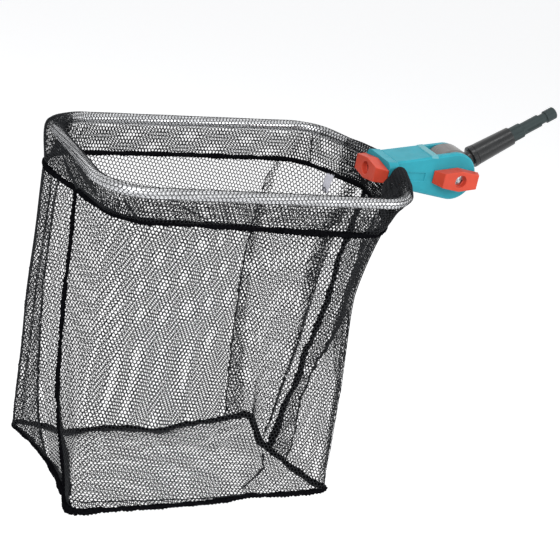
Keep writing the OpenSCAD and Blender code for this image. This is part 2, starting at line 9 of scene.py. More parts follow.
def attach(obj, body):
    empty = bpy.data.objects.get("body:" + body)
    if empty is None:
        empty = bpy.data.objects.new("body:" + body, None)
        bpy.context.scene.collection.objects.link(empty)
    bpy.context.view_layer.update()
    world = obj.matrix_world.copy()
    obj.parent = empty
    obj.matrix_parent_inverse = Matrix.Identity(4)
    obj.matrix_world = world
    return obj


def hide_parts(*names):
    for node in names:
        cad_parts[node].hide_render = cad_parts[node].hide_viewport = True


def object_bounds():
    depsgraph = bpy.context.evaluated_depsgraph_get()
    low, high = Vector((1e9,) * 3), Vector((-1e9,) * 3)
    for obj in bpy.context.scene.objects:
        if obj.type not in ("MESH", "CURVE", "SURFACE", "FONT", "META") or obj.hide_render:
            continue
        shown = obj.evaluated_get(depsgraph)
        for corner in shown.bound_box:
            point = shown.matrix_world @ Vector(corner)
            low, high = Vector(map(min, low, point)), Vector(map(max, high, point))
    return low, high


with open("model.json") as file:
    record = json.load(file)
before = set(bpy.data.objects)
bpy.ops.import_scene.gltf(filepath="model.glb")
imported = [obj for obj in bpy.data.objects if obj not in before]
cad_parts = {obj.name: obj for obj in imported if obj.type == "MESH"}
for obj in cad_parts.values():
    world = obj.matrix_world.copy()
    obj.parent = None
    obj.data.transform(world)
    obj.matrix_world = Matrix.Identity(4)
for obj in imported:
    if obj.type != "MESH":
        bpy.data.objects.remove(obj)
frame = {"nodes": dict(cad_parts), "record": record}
cad_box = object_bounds()

MM = 0.001

# The clamp's frame (mm): its origin is where the clamp grips the tube.
SHAFT_TILT = math.radians(31)
PIVOT = (87.0, 0.0, -4.5)
SHAFT_REACH = 128.0
ROW_ORIGIN = np.array([PIVOT[0] + SHAFT_REACH * math.cos(SHAFT_TILT), 0.0,
                       PIVOT[2] + SHAFT_REACH * math.sin(SHAFT_TILT)])


def to_row(points):
    """Points in the clamp's frame, in mm, as metres in the row's frame."""
    return (np.asarray(points, float) - ROW_ORIGIN) * MM


# ---- camera

CAMERA_TURN = -0.5061
CAMERA_RISE = 0.3852
CAMERA_ROLL = 0.2066
CAMERA_DISTANCE = 1847.24
CAMERA_ASIDE = (131.43, 141.818)
FOCAL_PX = 1500.0
IMAGE_PX = 560.0
SENSOR_MM = 36.0
CAMERA_CLIP = (0.05, 20.0)


def add_camera():
    """The photo's camera, as fitted to the object's outline."""
    back = Vector((math.sin(CAMERA_TURN) * math.cos(CAMERA_RISE),
                   -math.cos(CAMERA_TURN) * math.cos(CAMERA_RISE),
                   math.sin(CAMERA_RISE)))
    level = Vector((math.cos(CAMERA_TURN), math.sin(CAMERA_TURN), 0))
    upright = back.cross(level)
    right = math.cos(CAMERA_ROLL) * level + math.sin(CAMERA_ROLL) * upright
    up = -math.sin(CAMERA_ROLL) * level + math.cos(CAMERA_ROLL) * upright
    place = -CAMERA_ASIDE[0] * right - CAMERA_ASIDE[1] * up + CAMERA_DISTANCE * back
    data = bpy.data.cameras.new("camera")
    data.lens = FOCAL_PX * SENSOR_MM / IMAGE_PX
    data.sensor_width = SENSOR_MM
    data.clip_start, data.clip_end = CAMERA_CLIP
    camera = bpy.data.objects.new("camera", data)
    bpy.context.scene.collection.objects.link(camera)
    turn = Matrix((right, up, back)).transposed().to_4x4()
    camera.matrix_world = Matrix.Translation(to_row(place).tolist()) @ turn
    bpy.context.scene.camera = camera


add_camera()

# ---- materials

BEVEL_SAMPLES = 6
# Most noise lies in this range, so colours and gloss are spread over it.
NOISE_RANGE = (0.3, 0.7)
# A painted highlight pales the edges where the rounded normal turns from the face's
# own: between these cosines, and up to this share.
HIGHLIGHT_COSINES = (0.99, 0.80)
MOST_HIGHLIGHT = 0.55
# The colour sockets of a Mix node.
MIX_A = 6
MIX_B = 7
MIX_RESULT = 2


def add_node(tree, kind, sockets=()):
    """A new node, with each socket, by name or number, linked or set to a value."""
    node = tree.nodes.new(kind)
    for key, value in dict(sockets).items():
        if isinstance(value, bpy.types.NodeSocket):
            tree.links.new(value, node.inputs[key])
        else:
            node.inputs[key].default_value = value
    return node


class Material:
    """A small helper that wires one procedural Principled material."""

    def __init__(self, name, color, roughness, **sockets):
        self.material = bpy.data.materials.new(name)
        self.material.use_nodes = True
        self.tree = self.material.node_tree
        self.shader = self.tree.nodes["Principled BSDF"]
        self.shader.inputs["Base Color"].default_value = (*color, 1)
        self.shader.inputs["Roughness"].default_value = roughness
        for socket, value in sockets.items():
            self.shader.inputs[socket.replace("_", " ")].default_value = value
        self.place = self.add("ShaderNodeTexCoord").outputs["Object"]
        self.normal = None

    def add(self, kind, sockets=()):
        return add_node(self.tree, kind, sockets)

    def feed(self, socket, output):
        """Links an output to one of the shader's sockets."""
        self.tree.links.new(output, self.shader.inputs[socket])

    def noise(self, scale, detail, stretch=(1, 1, 1)):
        mapping = self.add("ShaderNodeMapping", {"Vector": self.place, "Scale": stretch})
        noise = self.add("ShaderNodeTexNoise", {"Vector": mapping.outputs["Vector"],
                                                "Scale": scale, "Detail": detail})
        return noise.outputs["Fac"]

    def wave(self, scale, distortion, direction):
        wave = self.add("ShaderNodeTexWave", {"Vector": self.place, "Scale": scale,
                                              "Distortion": distortion})
        wave.bands_direction = direction
        return wave.outputs["Fac"]

    def ramp(self, factor, low, high, span=NOISE_RANGE):
        """From one colour to another as the factor goes over a span."""
        ramp = self.add("ShaderNodeValToRGB", {"Fac": factor})
        for stop, position, color in zip(ramp.color_ramp.elements, span, (low, high)):
            stop.position = position
            stop.color = (*color, 1)
        return ramp.outputs["Color"]

    def remap(self, factor, low, high, span=NOISE_RANGE):
        """From one value to another as the factor goes over a span."""
        remap = self.add("ShaderNodeMapRange", {"Value": factor, "From Min": span[0],
                                                "From Max": span[1], "To Min": low,
                                                "To Max": high})
        return remap.outputs["Result"]

    def rounded(self, radius):
        """The normal as if the edges were rounded over a radius."""
        bevel = self.add("ShaderNodeBevel", {"Radius": radius})
        bevel.samples = BEVEL_SAMPLES
        return bevel.outputs["Normal"]

    def bevel(self, radius):
        self.normal = self.rounded(radius)
        self.feed("Normal", self.normal)

    def bump(self, factor, distance):
        bump = self.add("ShaderNodeBump", {"Height": factor, "Distance": distance})
        if self.normal is not None:
            self.tree.links.new(self.normal, bump.inputs["Normal"])
        self.normal = bump.outputs["Normal"]
        self.feed("Normal", self.normal)

    def edge_highlight(self, output, pale, spread):
        """Mixes a paler tone into the colour along the sharp edges, as a painted highlight."""
        geometry = self.add("ShaderNodeNewGeometry")
        dot = self.add("ShaderNodeVectorMath", {0: geometry.outputs["Normal"],
                                                1: self.rounded(spread)})
        dot.operation = "DOT_PRODUCT"
        edge = self.remap(dot.outputs["Value"], 0, MOST_HIGHLIGHT, HIGHLIGHT_COSINES)
        return self.blend(edge, output, pale)

    def beyond(self, limits):
        """One where the place lies beyond every (axis, limit, soft) limit, else zero."""
        split = self.add("ShaderNodeSeparateXYZ", {0: self.place})
        inside = None
        for axis, limit, soft in limits:
            step = self.remap(split.outputs[axis], 0, 1, (limit - soft, limit + soft))
            if inside is None:
                inside = step
                continue
            both = self.add("ShaderNodeMath", {0: inside, 1: step})
            both.operation = "MULTIPLY"
            inside = both.outputs["Value"]
        return inside

    def blend(self, factor, output, color):
        mix = self.add("ShaderNodeMix", {0: factor, MIX_A: output, MIX_B: (*color, 1)})
        mix.data_type = "RGBA"
        return mix.outputs[MIX_RESULT]


def shade(color, factor, add=0.0):
    return tuple(min(1.0, c * factor + add) for c in color)


# Scales per metre and heights in metres of the bumps.
GRAIN = (1500, 0.00002)
WAVINESS = (45, 0.00012)
BRUSHING = (900, 0.000012)
FILAMENTS = (3800, 0.00012)
WEAVE = (620, 0.00006)
METAL_EDGE = 0.0003
SPOT_RANGE = (0.4, 0.6)
# What the painted edge highlight adds to each colour channel.
EDGE_HIGHLIGHT_ADD = 0.02


def moulded(name, color, roughness, edge=0.0007, highlight_gain=1.35, band=None, **sockets):
    """Injection-moulded plastic: slight mottling, fine grain and a painted highlight on the edges.
    """
    plastic = Material(name, color, roughness, **sockets)
    mottle = plastic.ramp(plastic.noise(60, 4), shade(color, 0.92), shade(color, 1.07))
    if band is not None:
        limits, tone = band
        mottle = plastic.blend(plastic.beyond(limits), mottle, tone)
    # Paler edges: a painted highlight.
    plastic.feed("Base Color", plastic.edge_highlight(mottle, shade(color, highlight_gain, EDGE_HIGHLIGHT_ADD), edge))
    dull = plastic.remap(plastic.noise(140, 5), roughness - 0.05, roughness + 0.08)
    plastic.feed("Roughness", dull)
    plastic.bevel(edge)
    for scale, height in (GRAIN, WAVINESS):
        plastic.bump(plastic.noise(scale, 2), height)
    return plastic.material


def satin_metal(name, color, roughness, streaks, spots, dull):
    """Metal with darker spots, which on the steel are painted glints and shade, and brushed along
    the streaks' long axis.
    """
    metal = Material(name, color, roughness, Metallic=1.0)
    # Darker spots: a patchy tone on the tube, painted glints and shade on the steel.
    spots_and_glints = metal.ramp(metal.noise(spots, 4), shade(color, dull), color, SPOT_RANGE)
    metal.feed("Base Color", spots_and_glints)
    metal.feed("Roughness", metal.remap(metal.noise(220, 4), roughness - 0.06, roughness + 0.10))
    metal.bevel(METAL_EDGE)
    scale, height = BRUSHING
    metal.bump(metal.noise(scale, 3, streaks), height)
    return metal.material


def knitted(name, color, gloss):
    """Black polyester yarn: fine filaments with a dull gloss."""
    yarn = Material(name, color, 0.62, Specular_IOR_Level=gloss)
    yarn.feed("Base Color", yarn.ramp(yarn.noise(420, 3), shade(color, 0.6), shade(color, 1.9)))
    scale, height = FILAMENTS
    yarn.bump(yarn.noise(scale, 3), height)
    return yarn.material


def woven_tape(name, color):
    """Plain woven tape, with the weave in both directions."""
    tape = Material(name, color, 0.75, Sheen_Weight=0.3)
    tape.feed("Base Color", tape.ramp(tape.noise(260, 4), shade(color, 0.9), color))
    scale, height = WEAVE
    for direction in "ZX":
        tape.bump(tape.wave(scale, 0.6, direction), height)
    return tape.material


TURQUOISE = (0.036, 0.385, 0.475)
ORANGE_RED = (0.72, 0.074, 0.036)
KNUCKLE_GREY = (0.17, 0.16, 0.155)
SLEEVE_BLACK = (0.009, 0.010, 0.011)
TANG_SLATE = (0.036, 0.052, 0.053)
ALUMINIUM = (0.86, 0.87, 0.89)
STEEL = (0.66, 0.67, 0.70)
NET_BLACK = (0.011, 0.012, 0.014)
SEAM_BLACK = (0.004, 0.004, 0.005)
TAG_WHITE = (0.72, 0.72, 0.80)

# Bands in another tone: limits as (axis, metres, softness; a negative softness keeps
# what lies below) for a painted highlight on the rib before the fork's slot and painted
# shade on the knuckle's neck.
# The rib's paler band is a painted highlight, where its face catches more light.
RIB_HIGHLIGHT = ([(0, -0.1479, 0.0003), (0, -0.1392, -0.0003), (2, -0.0427, 0.0003)],
            (0.175, 0.47, 0.52))
# The knuckle's darker neck beside the fork's slot is painted shade.
NECK_SHADE = ([(0, -0.1010, 0.0060)], (0.030, 0.029, 0.029))

materials = {
    "turquoise": moulded("turquoise", TURQUOISE, 0.36, 0.0010, 1.9, RIB_HIGHLIGHT,
                         Specular_IOR_Level=0.16),
    "orange_red": moulded("orange_red", ORANGE_RED, 0.38, 0.0018, Specular_IOR_Level=0.35),
    "knuckle_grey": moulded("knuckle_grey", KNUCKLE_GREY, 0.22, band=NECK_SHADE,
                            Specular_IOR_Level=0.4),
    "sleeve_black": moulded("sleeve_black", SLEEVE_BLACK, 0.26, Specular_IOR_Level=0.45),
    "tang_slate": moulded("tang_slate", TANG_SLATE, 0.42, Specular_IOR_Level=0.22),
    "tube_alu": satin_metal("tube_alu", ALUMINIUM, 0.28, (1, 1, 6), spots=35, dull=0.86),
    # The steel's dark and bright spots are painted glints and shade.
    "steel": satin_metal("steel", STEEL, 0.16, (1, 1, 1), spots=260, dull=0.22),
    "net_black": knitted("net_black", NET_BLACK, 0.15),
    "seam_black": knitted("seam_black", SEAM_BLACK, 0.0),
    "tag_white": woven_tape("tag_white", TAG_WHITE),
}

slot_of = {part["node"]: part["material_slot"] for part in frame["record"]["subparts"]}
for node_name, node in frame["nodes"].items():
    for node_slot in node.material_slots:
        node_slot.material = materials[slot_of[node_name]]

# ---- the bag's form

# Corners and bend radii of the rings (mm), in order round the bag from the
# clamp by the back side, the far side and the front side to the clamp again.
TUBE_CORNERS = [(0, 32), (-40, 133.5), (-402, 119), (-402, -119), (-40, -133.5), (0, -32)]
TUBE_BENDS = [24, 48, 55, 55, 48, 24]
HEM_CORNERS = [(-8, 32), (-52, 128), (-425, 111), (-374, -96), (-59, -128), (-14, -32)]
HEM_BENDS = [24, 50, 52, 52, 58, 24]
BOTTOM_CORNERS = [(-62, 32), (-58, 104), (-403, 99), (-384, -109), (-38, -102), (-52, -32)]
BOTTOM_BENDS = [40, 12, 14, 14, 10, 40]
HEM_Z = -42.0
FLOOR_Z = -402.0
# A station is a corner's number, plus up to a half along its bend and from a half
# along the straight that follows. A turn is all the way round.
TURN = 6
BEND_STEPS = 24
LEG_STEPS = 110
# Where the walls' two seams run, as (share of the way down, station).
FAR_SEAM = [(0.0, 2.75), (0.21, 2.777), (0.475, 2.785), (0.71, 2.815), (0.825, 2.845),
            (0.89, 2.88), (0.95, 2.92), (1.0, 2.94)]
HANDLE_SEAM = [(0.0, 5.97), (0.17, 5.90), (0.24, 5.91), (0.31, 5.865), (0.40, 5.805),
               (0.46, 5.80), (0.54, 5.825), (0.625, 5.855), (0.70, 5.82), (0.79, 5.84),
               (0.86, 5.85), (0.93, 5.81), (1.0, 5.82)]
# Where the longest folds run, in the same terms.
FAR_FOLD = [(0.0, 2.60), (0.26, 2.613), (0.54, 2.629), (0.69, 2.656), (0.85, 2.672),
            (0.95, 2.708), (1.0, 2.72)]
NEAR_FOLD = [(0.0, 5.55), (0.14, 5.60), (0.24, 5.50), (0.35, 5.40), (0.43, 5.35), (0.525, 5.545),
             (0.625, 5.66), (0.70, 5.676), (0.775, 5.69), (0.85, 5.61), (0.925, 5.55), (1.0, 5.50)]
BACK_FOLD = [(0.20, 6.56), (0.34, 6.54), (0.43, 6.50), (0.51, 6.40), (0.59, 6.28), (0.68, 6.25),
             (0.78, 6.38), (0.85, 6.36), (0.90, 6.28), (1.0, 6.05)]
# The stations where each wall's lattice has its middle, and how finely the walls are
# sampled.
FRONT_MIDDLE = 3.75
BACK_MIDDLE = 1.75
WALL_STATIONS = 321
LEVELS = 61


def unit(vector):
    return vector / np.linalg.norm(vector)


def length_along(path):
    """The length of a path up to each of its points."""
    steps = np.linalg.norm(np.diff(path, axis=0), axis=1)
    return np.concatenate([[0], np.cumsum(steps)])


def interp_rows(at, known, rows):
    """Rows of values at new places, each column interpolated by itself."""
    return np.stack([np.interp(at, known, column) for column in rows.T], -1)


def wrap(gap, turn):
    """A distance round a ring, the shorter way."""
    return (gap + turn / 2) % turn - turn / 2


def ring_outline(corners, bends):
    """Points round a closed outline with rounded corners."""
    c = np.array(corners, float)
    count = len(c)
    arcs = []
    for i in range(count):
        a = unit(c[i] - c[i - 1])
        b = unit(c[(i + 1) % count] - c[i])
        turn = math.atan2(a[0] * b[1] - a[1] * b[0], a @ b)
        start = c[i] - a * bends[i] * math.tan(abs(turn) / 2)
        inward = np.array([-a[1], a[0]]) * math.copysign(bends[i], turn)
        angle = np.linspace(0, turn, BEND_STEPS + 1)[:, None]
        side = np.array([inward[1], -inward[0]])
        arcs.append(start + inward - np.cos(angle) * inward + np.sin(angle) * side)
    share = np.linspace(0, 1, LEG_STEPS + 1)[1:-1, None]
    points = []
    for i in range(count):
        following = arcs[(i + 1) % count][0]
        points += [arcs[i], arcs[i][-1] + (following - arcs[i][-1]) * share]
    return np.concatenate(points)


def ring_stations():
    """The station of each point of a ring."""
    bend = np.linspace(0, 0.5, BEND_STEPS + 1)
    leg = np.linspace(0.5, 1, LEG_STEPS + 1)[1:-1]
    return np.concatenate([corner + np.concatenate([bend, leg]) for corner in range(TURN)])


STATIONS = ring_stations()
TUBE_RING = ring_outline(TUBE_CORNERS, TUBE_BENDS)
HEM_RING = ring_outline(HEM_CORNERS, HEM_BENDS)
BOTTOM_RING = ring_outline(BOTTOM_CORNERS, BOTTOM_BENDS)


def at_station(ring, station):
    """A ring's points at any stations, going round as often as asked."""
    known = np.concatenate([STATIONS - TURN, STATIONS, STATIONS + TURN, STATIONS[:1] + 2 * TURN])
    wrapped = np.concatenate([ring, ring, ring, ring[:1]])
    return interp_rows(station, known, wrapped)


def outward(ring):
    """Unit vectors that point out of a ring, in plan."""
    along = np.roll(ring, -1, 0)[:, :2] - np.roll(ring, 1, 0)[:, :2]
    along /= np.linalg.norm(along, axis=1)[:, None]
    return np.stack([along[:, 1], -along[:, 0]], -1)


# Where the bag's middle and ends lie along x, and the halves of its size (mm).
BAG_MIDDLE = -210.0
NEAR_END = -60.0
FAR_END = -394.0
HALF_LENGTH = 175.0
HALF_WIDTH = 100.0
# How far the clamp's end is drawn in between hem and bottom (mm), and by what share
# less low on the front side and near the seam.
WAIST = 25.0
WAIST_POWER = 0.83
WAIST_EASE = 0.66
EASE_WIDTH = 110.0
EASE_START = 0.25
EASE_SPAN = 0.35
SEAM_EASE = 0.7
SEAM_EASE_WIDTH = 50.0
# How far the bottom's ends are drawn in at their middle, how far its edges sag, how
# far the front side lies in, and how far the walls drift in and out (mm).
NEAR_BOW = 19.0
FAR_BOW = 18.0
BACK_SAG = 17.0
FRONT_SAG = 5.2
FRONT_IN = 0.9
DRIFT = 0.8

# Folds down the walls: places as (share of the way down, station), half-width in mm
# and push outward in mm.
FOLDS = [
    ([(0.0, 1.50), (1.0, 1.54)], 3.0, 5.0),
    (FAR_FOLD, 3.5, 4.0),
    ([(0.0, 2.20), (1.0, 2.18)], 5.0, -6.0),
    ([(0.0, 2.50), (1.0, 2.52)], 4.0, -4.0),
    (NEAR_FOLD, 4.5, 4.0),
    (BACK_FOLD, 5.0, 6.0),
    ([(0.0, 4.30), (0.5, 4.34), (1.0, 4.30)], 4.0, -6.0),
    ([(0.0, 1.62), (1.0, 1.66)], 9.0, -1.8),
    ([(0.0, 1.80), (1.0, 1.76)], 11.0, 1.8),
    ([(0.0, 3.60), (1.0, 3.62)], 12.0, 1.6),
    ([(0.0, 3.76), (1.0, 3.72)], 10.0, -1.8),
    ([(0.0, 3.92), (1.0, 3.90)], 10.0, 2.0),
]
FOLD_FADE = 0.08

# Dips of the bottom's edge: place in plan (mm), radius and drop.
EDGE_DIPS = [(-322, 100, 30, 8.0), (-194, 102, 26, 6.0), (-150, -104, 34, -4.0)]


def place_station(places, turns=0.0):
    """Gives the station at share t from a list of (share, station) places."""
    shares, stations = np.transpose(places)

    def station(t):
        return float(np.interp(t, shares, stations + turns))

    return station


def fold_push(t, ring):
    """How far each point of a ring at share t is pushed outward by the folds."""
    along = length_along(ring)
    total = along[-1] + np.linalg.norm(ring[0] - ring[-1])
    push = np.zeros(len(ring))
    for places, width, amount in FOLDS:
        centre = np.interp(place_station(places)(t) % TURN, STATIONS, along)
        gap = wrap(along - centre, total)
        start = min(1, max(0, (t - places[0][0]) / FOLD_FADE))
        end = min(1, max(0, (places[-1][0] - t) / FOLD_FADE))
        push += amount * start * end * np.exp(-(gap / width) ** 2)
    return push


def middle_share(x):
    """One at the bag's middle, and zero towards both its ends."""
    return np.clip(1 - ((x - BAG_MIDDLE) / HALF_LENGTH) ** 2, 0, 1)


def floor_sag(x, y):
    """How far the bottom hangs below its level at a place in plan."""
    back = np.clip(y / HALF_WIDTH, 0, 1)
    front = np.clip(-y / HALF_WIDTH, 0, 1)
    dips = sum(drop * np.exp(-((x - a) ** 2 + (y - b) ** 2) / radius ** 2)
               for a, b, radius, drop in EDGE_DIPS)
    return (BACK_SAG * back ** 2 + FRONT_SAG * front ** 2) * middle_share(x) + dips


def bag_ring(t):
    """The ring of the wall at share t of the way from the hem to the bottom."""
    x, y = (HEM_RING * (1 - t) + BOTTOM_RING * t).T
    near = np.clip((x - BAG_MIDDLE) / (NEAR_END - BAG_MIDDLE), 0, 1)
    far = np.clip((BAG_MIDDLE - x) / (BAG_MIDDLE - FAR_END), 0, 1)
    side = np.clip(1 - (y / HALF_WIDTH) ** 2, 0, 1)
    front = np.clip(-y / HALF_WIDTH, 0, 1)
    waist = WAIST * math.sin(math.pi * t ** WAIST_POWER)
    low = min(1, max(0, (t - EASE_START) / EASE_SPAN))
    keep = 1 - WAIST_EASE * np.clip(-y / EASE_WIDTH, 0, 1) * low
    keep = keep - SEAM_EASE * np.exp(-(y / SEAM_EASE_WIDTH) ** 2)
    pull = waist * keep + NEAR_BOW * side * t ** 3
    moved_x = x - near ** 2 * pull + FAR_BOW * side * far ** 2 * t ** 4
    moved_y = y + FRONT_IN * front * middle_share(x) * t
    z = HEM_Z + (FLOOR_Z - HEM_Z) * t - floor_sag(x, y) * t ** 5
    ring = np.stack([moved_x, moved_y, z], -1)
    drift = np.sin(2 * math.pi * (2 * t + STATIONS)) * DRIFT * math.sin(math.pi * t)
    ring[:, :2] += outward(ring) * (fold_push(t, ring) + drift)[:, None]
    return ring


class Sheet:
    """Fabric as a map from (along, down) in mm to a place."""

    def thread(self, points):
        """How thick the threads are at each place, as a share."""
        return np.ones((len(points), 1))


class Wall(Sheet):
    """A part of the wall, between two lines of stations."""

    def __init__(self, first, last, middle, out=0.0):
        self.along = []
        self.points = []
        for t in np.linspace(0, 1, LEVELS):
            ring = bag_ring(t)
            ring[:, :2] += outward(ring) * out
            stations = np.linspace(first(t), last(t), WALL_STATIONS)
            points = at_station(ring, stations)
            length = length_along(points)
            length -= np.interp(middle, stations, length)
            self.along.append(length)
            self.points.append(points)
        self.depth = HEM_Z - FLOOR_Z
        self.reach = (min(a[0] for a in self.along), max(a[-1] for a in self.along))

    def level(self, down):
        return np.clip(down / self.depth, 0, 1) * (LEVELS - 1)

    def inside(self, along, down):
        start, end = (np.interp(self.level(down), np.arange(LEVELS), [a[k] for a in self.along])
                      for k in (0, -1))
        return (along > start) & (along < end) & (down > 0) & (down < self.depth)

    def place(self, along, down):
        level = self.level(down)
        lower = np.minimum(level.astype(int), LEVELS - 2)
        share = level - lower
        result = np.zeros((len(along), 3))
        for k in range(LEVELS - 1):
            chosen = lower == k
            if not chosen.any():
                continue
            for row, weight in ((k, 1 - share[chosen]), (k + 1, share[chosen])):
                places = interp_rows(along[chosen], self.along[row], self.points[row])
                result[chosen] += weight[:, None] * places
        return result


# How far the bottom's lattice is turned in plan, and the bottom's ripples: height,
# lengths and where they fade out towards its edges (mm).
BOTTOM_SPIN = math.radians(16)
RIPPLE = 1.6
RIPPLE_LENGTHS = (17, 31, 23, 57)
RIPPLE_FADE = 90.0


class Bottom(Sheet):
    """The sewn-in bottom, with its lattice turned in plan."""

    def __init__(self):
        self.ring = bag_ring(1.0)
        low = self.ring.min(0)
        high = self.ring.max(0)
        self.middle = (low + high)[:2] / 2
        self.depth = math.hypot(*(high - low)[:2])
        self.reach = (-self.depth / 2, self.depth / 2)

    def plan(self, along, down):
        rise = self.depth / 2 - down
        x = along * math.cos(BOTTOM_SPIN) + rise * math.sin(BOTTOM_SPIN)
        y = rise * math.cos(BOTTOM_SPIN) - along * math.sin(BOTTOM_SPIN)
        return self.middle[0] + x, self.middle[1] + y

    def inside(self, along, down):
        x, y = self.plan(along, down)
        a = self.ring[:, :2]
        b = np.roll(a, -1, 0)
        crossing = np.zeros(len(x), bool)
        for (ax, ay), (bx, by) in zip(a, b):
            if ay == by:
                continue
            hit = ((ay > y) != (by > y)) & (x < (bx - ax) * (y - ay) / (by - ay) + ax)
            crossing ^= hit
        return crossing

    def place(self, along, down):
        x, y = self.plan(along, down)
        outside = ~self.inside(along, down)
        points = np.stack([x, y], -1)
        a = self.ring[:, :2]
        edge = np.roll(a, -1, 0) - a
        span = (edge ** 2).sum(1)
        for i in np.nonzero(outside)[0]:
            share = np.clip(((points[i] - a) * edge).sum(1) / span, 0, 1)
            foot = a + edge * share[:, None]
            points[i] = foot[((foot - points[i]) ** 2).sum(1).argmin()]
        x, y = points.T
        p, q, r, s = RIPPLE_LENGTHS
        ripple = RIPPLE * np.sin(x / p + y / q) * np.sin(y / r - x / s)
        fade = np.clip(1 - (y / RIPPLE_FADE) ** 2, 0, 1)
        return np.stack([x, y, FLOOR_Z - floor_sag(x, y) - ripple * fade], -1)


CHANNEL_R = 7.2
# Tube length per length of the channel's fabric, and where the channel is bunched up:
# station, width and the share of that length that is left.
CHANNEL_STRETCH = 0.96
BUNCHES = [(5.15, 0.40, 0.28), (0.30, 0.30, 0.60), (2.80, 0.30, 0.80), (2.22, 0.28, 0.62)]
HEM_START = -0.25
HEM_STATIONS = 721
ARC_POINTS = 25
ACROSS_STEPS = 48
GATHER_TAPER = 0.15
# How far each of the hem's two sheets lies from the line of its seam (mm).
HEM_SHEET_OUT = 0.9
# Where the hem is drawn inward below the tube: station, width and depth in mm.
TUCKS = [(4.60, 0.32, 12.0), (5.2, 0.35, 5.0), (1.2, 0.3, 2.5)]
# Where the hem's outer sheet stands off the tube, in the same terms.
BULGES = [(2.32, 0.34, 5.5), (3.4, 0.3, 1.5)]
TUCK_POWER = 0.6
BULGE_POWER = 0.5
# The room that the clamp takes (mm), where the channel is cut away.
CLAMP_HALF = 33.0
CLAMP_BEHIND = -40.0
CLAMP_UNDERSIDE = -17.0
# Threads are thinner by a share above this height, but not where they are bunched up
# beside the clamp (mm).
THIN_ABOVE = -9.0
THIN_SOFT = 3.0
THIN_SHARE = 0.30
BUNCHED_X = -20.0
BUNCHED_HALF = 40.0


def swells(stations, places):
    """The sum of smooth swells along a ring: station, width and amount of each."""
    return sum(amount * np.exp(-((stations - place) / width) ** 2)
               for place, width, amount in places)


class Hem(Sheet):
    """The doubled hem and the channel round the tube as one wrapped sheet."""

    def __init__(self, grow=0.0, first=HEM_START, last=TURN + HEM_START, top=math.inf):
        self.top = top
        self.stations = np.linspace(first, last, HEM_STATIONS)
        ends = np.minimum(self.stations - first, last - self.stations)
        grown = grow * np.clip(ends / GATHER_TAPER, 0, 1)
        tube = at_station(TUBE_RING, self.stations)
        hem = at_station(HEM_RING, self.stations)
        out = at_station(outward(TUBE_RING), self.stations)
        out /= np.linalg.norm(out, axis=1)[:, None]
        steps = np.linalg.norm(np.diff(tube, axis=0), axis=1)
        middle = (self.stations[1:] + self.stations[:-1]) / 2
        stretch = np.full(len(middle), CHANNEL_STRETCH)
        for place, width, amount in BUNCHES:
            gap = wrap(middle - place, TURN)
            stretch *= 1 - (1 - amount) * np.exp(-(gap / width) ** 2)
        self.fabric = np.concatenate([[0], np.cumsum(steps / stretch)])
        self.reach = (0, self.fabric[-1])
        tuck = swells(self.stations, TUCKS)
        bulge = swells(self.stations, BULGES)
        self.sections = np.stack([self.section(*shape) for shape
                                  in zip(tube, hem, out, grown, tuck, bulge)])
        lengths = np.linalg.norm(np.diff(self.sections, axis=1), axis=2).sum(1)
        self.depth = float(np.median(lengths))

    def section(self, tube, hem, out, grown, tuck, bulge):
        """Points from the hem's seam up outside, over the tube and down inside."""
        foot = (hem - tube) @ out
        lean = []
        for side in (1, -1):
            corner = np.array([foot + side * (HEM_SHEET_OUT + grown / 2), HEM_Z])
            distance = np.linalg.norm(corner)
            angle = math.atan2(corner[1], corner[0])
            lean.append((corner, angle + side * math.acos((CHANNEL_R + grown) / distance)))
        (start, first), (end, last) = lean
        angles = np.linspace(first, last + 2 * math.pi, ARC_POINTS)
        arc = (CHANNEL_R + grown) * np.stack([np.cos(angles), np.sin(angles)], -1)
        path = np.concatenate([[start], arc, [end]])
        length = length_along(path)
        even = np.linspace(0, length[-1], ACROSS_STEPS + 1)
        across, height = interp_rows(even, length, path).T
        below = np.clip(height / HEM_Z, 0, 1)
        across = across - tuck * np.sin(math.pi * below ** TUCK_POWER) ** 2
        lower = np.clip((CHANNEL_R - height) / (CHANNEL_R - HEM_Z), 0, 1)
        outer = np.linspace(1, 0, len(even)) > 0.5
        across = across + bulge * outer * np.sin(math.pi * lower ** BULGE_POWER)
        plan = tube + out * across[:, None]
        return np.concatenate([plan, height[:, None]], 1)

    def place(self, along, down):
        spot = np.interp(along, self.fabric, np.arange(len(self.fabric)))
        low = np.minimum(spot.astype(int), len(self.fabric) - 2)
        share = (spot - low)[:, None]
        step = np.clip(down / self.depth, 0, 1) * ACROSS_STEPS
        cut = np.minimum(step.astype(int), ACROSS_STEPS - 1)
        part = (step - cut)[:, None]
        here, following = ((1 - part) * self.sections[row, cut]
                           + part * self.sections[row, cut + 1] for row in (low, low + 1))
        return (1 - share) * here + share * following

    def thread(self, points):
        """Threads are thinner where the channel is stretched over the tube."""
        bunched = np.exp(-((points[:, 0] - BUNCHED_X) / BUNCHED_HALF) ** 4)
        over = np.clip((points[:, 2] - THIN_ABOVE) / THIN_SOFT, 0, 1) * (1 - bunched)
        return 1 - THIN_SHARE * over[:, None]

    def inside(self, along, down):
        points = self.place(along, down)
        clamp = ((np.abs(points[:, 1]) < CLAMP_HALF) & (points[:, 0] > CLAMP_BEHIND)
                 & (points[:, 2] > CLAMP_UNDERSIDE))
        return ((along > 0) & (along < self.reach[1]) & (down > 0) & (down < self.depth)
                & (points[:, 2] < self.top) & ~clamp)


# ---- knitted mesh

# The knit's cells (mm): their pitch across and down, half the width of the upright
# and the slanting threads, half the thickness, and how uneven the knots lie.
CELL_PITCH = 4.85
CELL_ROW = 4.35
PILLAR_HALF = 0.62
DIAGONAL_HALF = 0.385
THREAD_HALF = 0.36
UNEVEN = 0.16
# Rows and columns of the lattice to spare on each side of a sheet.
SPARE_CELLS = 3
